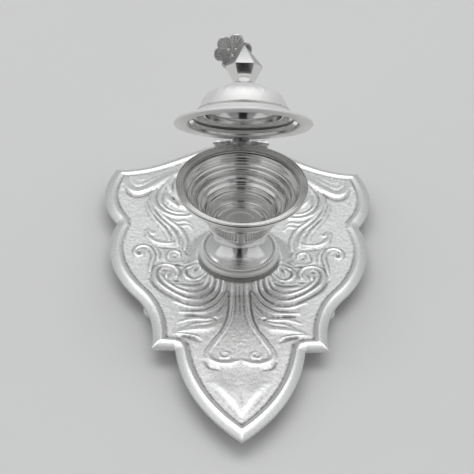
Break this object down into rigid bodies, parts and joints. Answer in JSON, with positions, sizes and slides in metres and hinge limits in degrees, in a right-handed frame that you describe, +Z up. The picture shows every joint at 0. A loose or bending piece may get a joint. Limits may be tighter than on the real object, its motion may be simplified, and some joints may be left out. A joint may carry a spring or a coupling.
{
  "type": "lidded incense cup on footed tray",
  "caption": "Silver stemmed cup with a hinged domed lid and flower finial, standing on an embossed leaf-shaped tray with ball feet.",
  "frame": {"origin": "on the ground, under the middle of the tray", "axes": "+Z up, +Y towards the hinge and the broad back of the tray, -Y towards the tray's pointed tip"},
  "size_m": [0.0998, 0.158, 0.0825],
  "materials": {
    "satin_silver": "embossed silver, matte stippled ground with polished ridges",
    "polished_silver": "polished silver with fine turning lines",
    "plain_steel": "plain machined steel"
  },
  "bodies": {
    "stand": {"tray": "satin_silver", "foot_front_left": "polished_silver", "foot_front_right": "polished_silver", "foot_back_left": "polished_silver", "foot_back_right": "polished_silver", "cup_seat": "polished_silver", "cup_foot": "polished_silver", "foot_bead_ring": "polished_silver", "cup_bowl": "polished_silver", "cup_rim_band": "polished_silver", "fixing_washer": "plain_steel", "fixing_screw": "plain_steel", "hinge_leaf_cup": "polished_silver", "hinge_pin": "plain_steel"},
    "lid": {"hinge_leaf_lid": "polished_silver", "lid_dome": "satin_silver", "lid_seam_ring": "polished_silver", "finial_nut": "polished_silver", "finial_neck": "polished_silver", "finial_calyx": "polished_silver", "finial_flower": "polished_silver", "flower_bead_1": "polished_silver", "flower_bead_2": "polished_silver", "flower_bead_3": "polished_silver"}
  },
  "joints": [
    {"name": "lid_hinge", "type": "hinge", "parent": "stand", "child": "lid", "pos_m": [0, 0.0322, 0.041], "axis": [-1, 0, 0], "range_deg": [-48, 60]}
  ]
}
